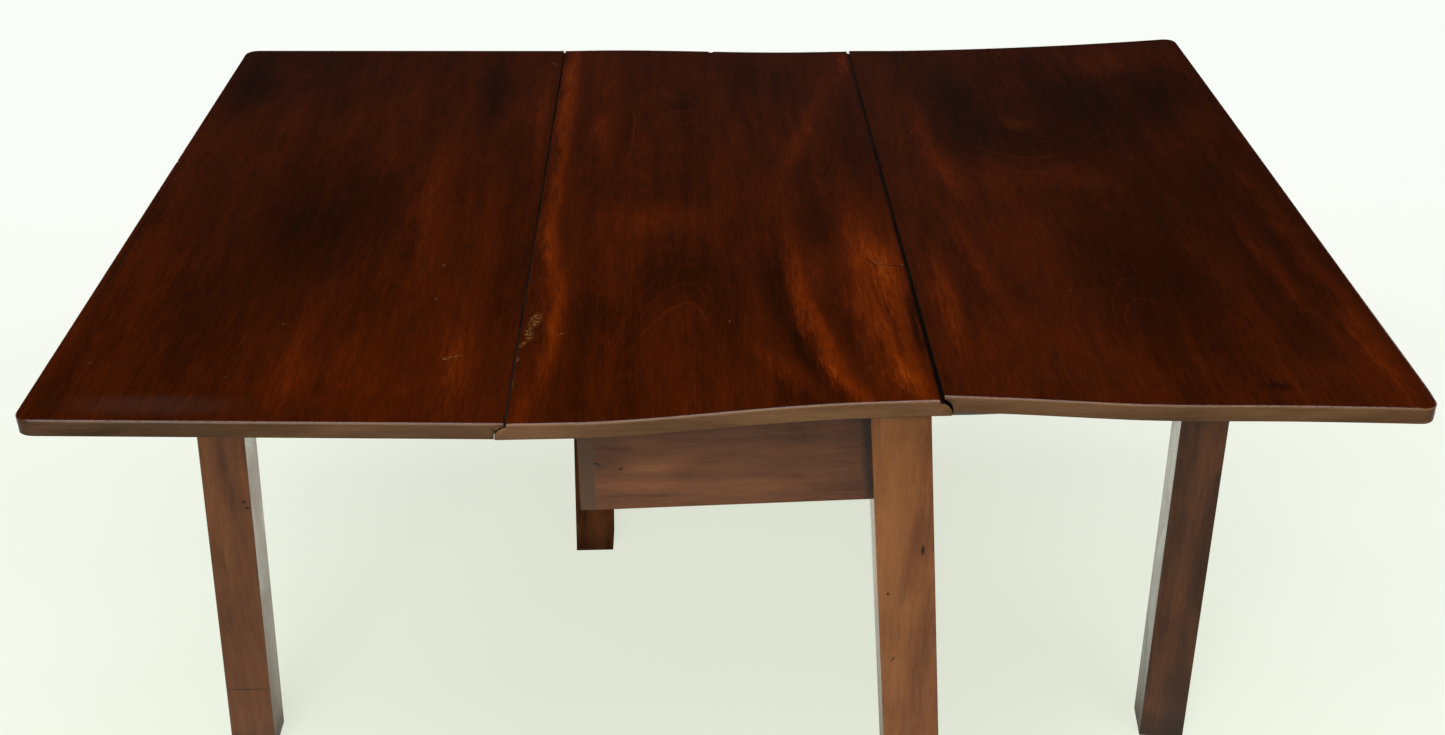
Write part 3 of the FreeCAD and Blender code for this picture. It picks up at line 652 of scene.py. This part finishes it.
def plain_wood(name, seed, turn, tones, level=0.45, rough=0.5, figure=(), bruises=()):
    """Wood with straight grain, for the frame, the blocks and the boards' lower side.

    Its figure, which holds painted shade on the near apron, and its bruises are placed as seen from
    the front, by x and height.
    """
    graph = Graph(name)
    placed = in_wood(graph, seed, turn)
    wood = grain(graph, placed, sway=0.025)
    broad = fibre(graph, wood, 22 * MM, 220 * MM, detail=4)
    medium = fibre(graph, wood, 4.5 * MM, 70 * MM, detail=4, rough=0.65)
    fine = fibre(graph, wood, 1.2 * MM, 20 * MM)
    cloud = graph.noise(graph.mapped(placed, scale=(22, 10, 22)), detail=4, rough=0.6, twist=0.6)
    x, _, z = graph.split(graph.place)
    foot = graph.fade(z, 45 * MM, 0.0)
    tone = graph.add(
        level,
        graph.about(broad, 0.48),
        graph.about(medium, 0.34),
        graph.about(fine, 0.24),
        graph.about(cloud, 0.40),
        graph.times(foot, -0.18),
    )
    ragged = graph.times(graph.add(medium, cloud, -1.0), 12 * MM)
    # On the near apron, some flames with glow below 0 are painted shade.
    for flame in figure:
        shape = flame_shape(graph, graph.add(x, ragged), graph.add(z, ragged), flame)
        tone = graph.add(tone, graph.times(shape, 0.7 * flame.glow))
    open_pores = pores(graph, wood, share=0.62)
    tone = graph.add(tone, graph.times(open_pores, -0.12))
    hits = graph.marks(graph.point(x, z), bruises)
    colour = graph.ramp(graph.add(tone, graph.times(hits, -0.55)), tones)
    clouded = graph.fade(cloud, 0.3, 0.7, rough - 0.05, rough + 0.08)
    roughness = graph.add(clouded, graph.times(foot, 0.15))
    ridges = graph.add(fine, graph.times(open_pores, -0.8), graph.times(hits, -2.0))
    return graph, colour, roughness, graph.bump(ridges, 0.12 * MM, 0.5)


def raw_wood(board, seed):
    """A board's lower side, never polished."""
    graph, *looks = plain_wood(board + "_raw", seed, GRAIN_ALONG, RAW_TONES, rough=0.6)
    return graph.finish(*looks)


# ---------------------------------------------------------------- the boards, as pieces

CELL = 12 * MM
# Points closer than this are one point.
TOUCHING = 0.001 * MM
# The plan radius of a leaf's outer corners, in the CAD model and worn rounder here.
CAD_CORNER = 13 * MM
CORNER = 16 * MM
# Small bites out of a board's edge: the axis and side the edge is on, then the bite's place along
# the edge, its half width and its depth.
BITES = {"left_leaf": (0, -1, 0.092, 0.0035, 0.0022), "centre_board": (1, 1, 0.0030, 0.0040, 0.0045)}
# How far a rule joint reaches from its seam, and how far below the top its inner faces begin.
JOINT_WIDE = 30 * MM
JOINT_DEEP = 1.5 * MM
ALONG_X = Vector((1, 0, 0))
ALONG_Y = Vector((0, 1, 0))


def slice_across(mesh, place, direction):
    """Cut a mesh's faces with a plane through a place, and keep both sides."""
    everything = mesh.verts[:] + mesh.edges[:] + mesh.faces[:]
    bmesh.ops.bisect_plane(
        mesh, geom=everything, dist=TOUCHING, plane_co=place, plane_no=direction
    )


def cut_into_cells(mesh, node):
    """Slice a mesh along and across, so that it can bend, and keep its own edges."""
    low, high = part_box(node)
    for direction in (ALONG_X, ALONG_Y):
        count = round((high - low).dot(direction) / CELL)
        for number in range(1, count):
            slice_across(mesh, low + (high - low) * (number / count), direction)


def bite(mesh, node):
    """Push a short length of one edge inwards."""
    axis, side, place, half, deep = BITES[node]
    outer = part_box(node)[0 if side < 0 else 1][axis]
    along = ALONG_Y if axis == 0 else ALONG_X
    for cut in (place - half, place, place + half):
        slice_across(mesh, along * cut, along)
    for vertex in mesh.verts:
        if abs(vertex.co.dot(along) - place) < half / 2 and abs(vertex.co[axis] - outer) < 4 * MM:
            vertex.co[axis] -= side * deep


def corner_reach(x, y):
    """How far the CAD corner is from the new corner's centre, in the direction x, y."""
    step = CORNER - CAD_CORNER
    if y * CORNER <= step * x:
        return CORNER / x
    if x * CORNER <= step * y:
        return CORNER / y
    along = step * (x + y)
    return along + math.sqrt(along * along - 2 * step * step + CAD_CORNER * CAD_CORNER)


def rounded(x, y):
    """Where a point goes, both from the new corner's centre, so that the corner gets its radius."""
    away = math.hypot(x, y)
    inside = corner_reach(x / away, y / away) - away
    moved = CORNER - (0 if inside < 0.3 * MM else inside)
    share = (away + (moved - away) * smooth(0.4 * CORNER, 0.8 * CORNER, away)) / away
    return x * share, y * share


def round_corners(mesh, node):
    """Round a leaf's outer corners, as seen from above, and leave its joint alone."""
    low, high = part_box(node)
    side = -1 if node == "left_leaf" else 1
    outer = max(side * low.x, side * high.x)
    for share in (1.0, 0.75, 0.5, 0.3, 0.15, 0.05):
        inset = share * CORNER
        slice_across(mesh, ALONG_X * (side * (outer - inset)), ALONG_X)
        slice_across(mesh, ALONG_Y * (END - inset), ALONG_Y)
        slice_across(mesh, ALONG_Y * (inset - END), ALONG_Y)
    for vertex in mesh.verts:
        x = side * vertex.co.x - (outer - CORNER)
        y = abs(vertex.co.y) - (END - CORNER)
        if x > 0 and y > 0:
            x, y = rounded(x, y)
            vertex.co.x = side * (outer - CORNER + x)
            vertex.co.y = math.copysign(END - CORNER + y, vertex.co.y)


# A board's four materials, by their places in its list.
POLISHED, SAWN, RAW, WAXED = range(4)
BOARD_WOODS = (board_polish, end_grain, raw_wood, old_wax)


def finish_of(face):
    """The place in BOARD_WOODS of what covers a face of the flat board."""
    middle = face.calc_center_median()
    if abs(face.normal.y) > 0.6:
        return SAWN
    if face.normal.z < -0.5 and middle.z < UNDER + 0.4 * THICK:
        return RAW
    beside_joint = LEFT_SEAM - JOINT_WIDE < middle.x < RIGHT_SEAM + JOINT_WIDE
    if beside_joint and UNDER < middle.z < TOP - JOINT_DEEP:
        return WAXED
    return POLISHED


def board_mesh(node):
    """The CAD board's mesh, cut fine, worn at its edges and warped."""
    mesh = bmesh.new()
    mesh.from_mesh(NODES[node].data)
    bmesh.ops.remove_doubles(mesh, verts=mesh.verts, dist=TOUCHING)
    bmesh.ops.dissolve_limit(
        mesh, angle_limit=math.radians(0.2), verts=mesh.verts, edges=mesh.edges
    )
    cut_into_cells(mesh, node)
    if node != "centre_board":
        round_corners(mesh, node)
    if node in BITES:
        bite(mesh, node)
    for face in mesh.faces:
        face.material_index = finish_of(face)
        face.smooth = True
    for vertex in mesh.verts:
        vertex.co = warped(node, vertex.co)
    data = bpy.data.meshes.new(node + "_wood")
    mesh.to_mesh(data)
    mesh.free()
    data.set_sharp_from_angle(angle=math.radians(35))
    return data


def board_piece(node, seed):
    """One warped board, with its polish above, end grain at its ends and raw wood below."""
    data = board_mesh(node)
    piece = bpy.data.objects.new(node + "_wood", data)
    bpy.context.scene.collection.objects.link(piece)
    for wood in BOARD_WOODS:
        data.materials.append(wood(node, seed))
    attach(piece, "frame" if node == "centre_board" else node)
    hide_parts(node)


for seed, node in enumerate(("left_leaf", "centre_board", "right_leaf"), start=1):
    board_piece(node, seed)

# ---------------------------------------------------------------- the frame's woods

# Each piece's grain, its tones, and how light it is among them. The low levels of the far left leg
# and the right gate leg are painted shade.
FRAME_WOODS = {
    "near_right_leg": (GRAIN_UP, SATIN_TONES, 0.74),
    # Painted shade: this leg stands in shade under the table.
    "far_left_leg": (GRAIN_UP, SATIN_TONES, 0.22),
    "left_gate_leg": (GRAIN_UP, SATIN_TONES, 0.54),
    # Painted shade: this leg stands far from the front light.
    "right_gate_leg": (GRAIN_UP, SATIN_TONES, 0.35),
    "near_apron": (GRAIN_ACROSS, SATIN_TONES, 0.46),
    "far_apron": (GRAIN_ACROSS, SATIN_TONES, 0.38),
    "left_fixed_rail": (GRAIN_ALONG, SATIN_TONES, 0.40),
    "right_fixed_rail": (GRAIN_ALONG, SATIN_TONES, 0.40),
    "left_gate_rail": (GRAIN_ACROSS, SATIN_TONES, 0.42),
    "right_gate_rail": (GRAIN_ACROSS, SATIN_TONES, 0.42),
    "left_inner_rail": (GRAIN_ALONG, OAK_TONES, 0.45),
    "right_inner_rail": (GRAIN_ALONG, OAK_TONES, 0.50),
    "top_blocks": (GRAIN_ALONG, OAK_TONES, 0.55),
    "corner_blocks": (GRAIN_UP, OAK_TONES, 0.50),
}
# Flames and bruises of the frame, placed as seen from the front, by x and height. Three of the near
# apron's dark flames are painted shade.
FRAME_FIGURES_AND_SHADE = {
    "near_right_leg": [
        Flame(0.140, 0.660, 0.014, 0.045, 0.16, lean=0.06),
        Flame(0.180, 0.660, 0.012, 0.050, -0.12, lean=0.06),
        Flame(0.139, 0.530, 0.012, 0.060, 0.16, lean=0.06),
        Flame(0.172, 0.555, 0.011, 0.040, -0.20, lean=0.10),
        Flame(0.161, 0.515, 0.005, 0.060, -0.18, lean=0.10),
        Flame(0.176, 0.430, 0.010, 0.050, -0.16, lean=0.06),
        Flame(0.151, 0.395, 0.012, 0.035, 0.16, lean=0.06),
        Flame(0.158, 0.368, 0.016, 0.014, -0.12),
    ],
    "left_gate_leg": [
        Flame(-0.569, 0.400, 0.008, 0.120, 0.20, lean=0.055),
        Flame(-0.560, 0.320, 0.008, 0.060, 0.16, lean=0.055),
        Flame(-0.574, 0.299, 0.008, 0.035, -0.22, lean=0.055),
        Flame(-0.548, 0.420, 0.006, 0.080, -0.12, lean=0.055),
        Flame(-0.582, 0.140, 0.012, 0.060, -0.10, lean=0.055),
    ],
    "right_gate_leg": [
        Flame(0.529, 0.083, 0.012, 0.060, 0.12),
        Flame(0.545, 0.040, 0.040, 0.100, -0.16),
        Flame(0.548, 0.424, 0.014, 0.060, 0.14),
        Flame(0.535, 0.230, 0.010, 0.060, 0.10),
        Flame(0.552, 0.266, 0.012, 0.060, -0.18),
    ],
    "near_apron": [
        Flame(-0.081, 0.619, 0.034, 0.007, 0.14),
        Flame(-0.066, 0.637, 0.030, 0.006, 0.18),
        Flame(0.000, 0.612, 0.060, 0.010, 0.10),
        # Painted shade: the apron's right end, darker beside the near right leg.
        Flame(0.118, 0.640, 0.022, 0.050, -0.12),
        Flame(-0.102, 0.655, 0.016, 0.030, -0.16),
        # Painted shadow: a dark line in the gap between the apron and the near right leg.
        Flame(0.1235, 0.645, 0.0050, 0.090, -0.55, lean=-0.06),
        # Painted shadow: the apron's top, darker under the table top.
        Flame(0.030, 0.690, 0.150, 0.030, -0.20),
    ],
}
BRUISES = {
    "near_right_leg": [
        (0.1446, 0.4983, 0.0013, 0.0016),
        (0.1740, 0.5450, 0.0016, 0.0050),
        (0.1519, 0.4246, 0.0008, 0.0030, -30),
    ],
    "near_apron": [(-0.0903, 0.6346, 0.0012, 0.0012), (-0.1120, 0.6405, 0.0045, 0.0009, -25)],
    "left_gate_leg": [
        (-0.5340, 0.3590, 0.0022, 0.0016),
        (-0.5310, 0.3510, 0.0026, 0.0014),
        (-0.5670, 0.0930, 0.0230, 0.0007),
    ],
}
# How strongly a piece's polish reflects, where that isn't USUAL_SHEEN.
USUAL_SHEEN = 0.5
SHEENS = {"far_left_leg": 0.0, "near_apron": 0.9}
SATIN_ROUGH = 0.30
BARE_ROUGH = 0.62
# An inner rail's end is stained: its oak darkens between these distances from the middle.
STAIN_STARTS = FRAME_END - 9.5 * MM
STAIN_FULL = FRAME_END - 7.5 * MM


def frame_wood(node, seed):
    """The wood of one piece of the frame; for a few pieces its level and its flames hold painted
    shade.
    """
    turn, tones, level = FRAME_WOODS[node]
    rough = SATIN_ROUGH if tones is SATIN_TONES else BARE_ROUGH
    graph, colour, roughness, normal = plain_wood(
        node + "_finish", seed, turn, tones, level, rough,
        FRAME_FIGURES_AND_SHADE.get(node, ()), BRUISES.get(node, ()),
    )
    if node.endswith("inner_rail"):
        from_middle = graph.math("ABSOLUTE", graph.split(graph.place)[1])
        stained = graph.fade(from_middle, STAIN_STARTS, STAIN_FULL)
        colour = graph.mix(stained, colour, STAINED_END)
    graph.shader.inputs["Specular IOR Level"].default_value = SHEENS.get(node, USUAL_SHEEN)
    return graph.finish(colour, roughness, normal)


for seed, node in enumerate(FRAME_WOODS, start=11):
    NODES[node].material_slots[0].material = frame_wood(node, seed)

# ---------------------------------------------------------------- iron and steel


def metal(name, seed, base, rust, rough):
    """Old iron: dull metal with brown rust in patches."""
    graph = Graph(name)
    placed = graph.mapped(graph.place, move=(seed, seed, seed))
    patches = graph.noise(placed, 90, detail=5, rough=0.65)
    grit = graph.noise(placed, 900, detail=3)
    rusty = graph.fade(graph.add(patches, graph.times(grit, 0.15)), 0.48, 0.66)
    colour = graph.mix(rusty, (*base, 1), (*rust, 1))
    graph.feed(graph.shader.inputs["Metallic"], graph.fade(rusty, 0.0, 1.0, 0.95, 0.05))
    roughness = graph.fade(rusty, 0.0, 1.0, rough, 0.85)
    return graph.finish(colour, roughness, graph.bump(graph.add(grit, rusty), 0.12 * MM, 0.6))


IRON = metal("old_iron", 3.0, (0.16, 0.15, 0.14), (0.085, 0.038, 0.018), 0.42)
STEEL = metal("screw_steel", 7.0, (0.30, 0.28, 0.25), (0.110, 0.055, 0.025), 0.35)
for node, piece in NODES.items():
    if node.endswith(("_flaps", "_pins", "_pin")):
        piece.material_slots[0].material = IRON
    if node.endswith("_screws"):
        piece.material_slots[0].material = STEEL

# ---------------------------------------------------------------- floor, light and camera

FLOOR_SIDE = 120
PALE = (0.97, 1.0, 0.965, 1)
BLACK = (0, 0, 0, 1)
PAPER_DARK = (0.29, 0.31, 0.27, 1)
PAPER_LIGHT = (0.32, 0.34, 0.30, 1)
GLOW_NEAR = (0.66, 0.70, 0.60, 1)
GLOW_FAR = (0.935, 0.965, 0.90, 1)


def sheet(name, side):
    """A flat square on the ground, with the table at its middle."""
    far = side / 2
    data = bpy.data.meshes.new(name)
    corners = [(-far, -far, 0), (far, -far, 0), (far, far, 0), (-far, far, 0)]
    data.from_pydata(corners, [], [(0, 1, 2, 3)])
    piece = bpy.data.objects.new(name, data)
    bpy.context.scene.collection.objects.link(piece)
    return piece


def floor_paper():
    """Pale paper that takes the table's soft shadow and glows everywhere: beside the table the glow
    is painted light that lightens that shadow, and far from it the glow grows, so it has no end.

    Behind the table it grows a little paler. As light it is dim in front and bright behind.
    """
    graph = Graph("floor_paper")
    x, y = graph.split(graph.place)[:2]
    away = graph.length(graph.point(x, y))
    far = graph.fade(away, 0.6, 1.9)
    wall = graph.fade(y, 1.0, 2.0)
    # Painted light: beside the table the paper glows with GLOW_NEAR, which lightens the table's
    # shadow on it.
    glow = graph.mix(far, GLOW_NEAR, GLOW_FAR)
    glow = graph.mix(graph.times(wall, 0.5), glow, PALE)
    glow = graph.mix(graph.fade(away, 4.0, 20.0), glow, PALE)
    graph.feed(graph.shader.inputs["Emission Color"], glow)
    seen = graph.node("ShaderNodeLightPath").outputs["Is Camera Ray"]
    light = graph.fade(y, -0.35, 0.55, 0.10, 1.9)
    strength = graph.math("MAXIMUM", seen, graph.times(light, graph.math("SUBTRACT", 1.0, seen)))
    graph.feed(graph.shader.inputs["Emission Strength"], strength)
    fleck = graph.noise(graph.place, 2.2, detail=3)
    colour = graph.mix(graph.fade(fleck, 0.3, 0.7), PAPER_DARK, PAPER_LIGHT)
    graph.shader.inputs["Specular IOR Level"].default_value = 0.0
    return graph.finish(graph.mix(far, colour, BLACK), 0.9)


floor = sheet("floor", FLOOR_SIDE)
floor.data.materials.append(floor_paper())


def studio():
    """Seen directly the studio is pale; as light it is dim, and the lamps do the work."""
    world = bpy.data.worlds.new("studio")
    bpy.context.scene.world = world
    world.use_nodes = True
    tree = world.node_tree
    dim = tree.nodes["Background"]
    towards = tree.nodes.new("ShaderNodeTexCoord")
    parts = tree.nodes.new("ShaderNodeSeparateXYZ")
    height = tree.nodes.new("ShaderNodeMapRange")
    high, low, high_light, low_light = 0.50, 0.26, 0.002, 0.026
    for socket, number in zip(height.inputs[1:], (high, low, high_light, low_light)):
        socket.default_value = number
    tree.links.new(towards.outputs["Generated"], parts.inputs[0])
    tree.links.new(parts.outputs["Z"], height.inputs[0])
    tree.links.new(height.outputs[0], dim.inputs["Color"])
    pale = tree.nodes.new("ShaderNodeBackground")
    pale.inputs["Color"].default_value = PALE
    seen = tree.nodes.new("ShaderNodeLightPath")
    either = tree.nodes.new("ShaderNodeMixShader")
    tree.links.new(seen.outputs["Is Camera Ray"], either.inputs[0])
    tree.links.new(dim.outputs[0], either.inputs[1])
    tree.links.new(pale.outputs[0], either.inputs[2])
    tree.links.new(either.outputs[0], tree.nodes["World Output"].inputs["Surface"])


def lamp(name, place, target, wide, deep, power):
    """A soft box at a place, aimed at a point."""
    light = bpy.data.lights.new(name, "AREA")
    light.shape = "RECTANGLE"
    light.size = wide
    light.size_y = deep
    light.energy = power
    soft_box = bpy.data.objects.new(name, light)
    bpy.context.scene.collection.objects.link(soft_box)
    soft_box.location = place
    towards = Vector(target) - Vector(place)
    soft_box.rotation_euler = towards.to_track_quat("-Z", "Y").to_euler()


studio()
lamp("ceiling_light", (0, -1.0, 2.9), (0, -0.5, 0), wide=3.4, deep=2.2, power=105)
lamp("front_light", (-0.9, -3.4, 2.1), (0, -0.2, 0.35), wide=1.8, deep=1.4, power=73)

EYE = Vector((-0.0251, -1.7188, 1.4480))
YAW, PITCH, ROLL = -0.0179, 0.5051, -0.0106
camera_data = bpy.data.cameras.new("camera")
camera_data.sensor_width = 36
camera_data.lens = 44.11
camera = bpy.data.objects.new("camera", camera_data)
bpy.context.scene.collection.objects.link(camera)
camera.matrix_world = (
    Matrix.Translation(EYE)
    @ Matrix.Rotation(YAW, 4, "Z")
    @ Matrix.Rotation(QUARTER - PITCH, 4, "X")
    @ Matrix.Rotation(ROLL, 4, "Z")
)
bpy.context.scene.camera = camera
bpy.context.scene.view_settings.view_transform = "Standard"
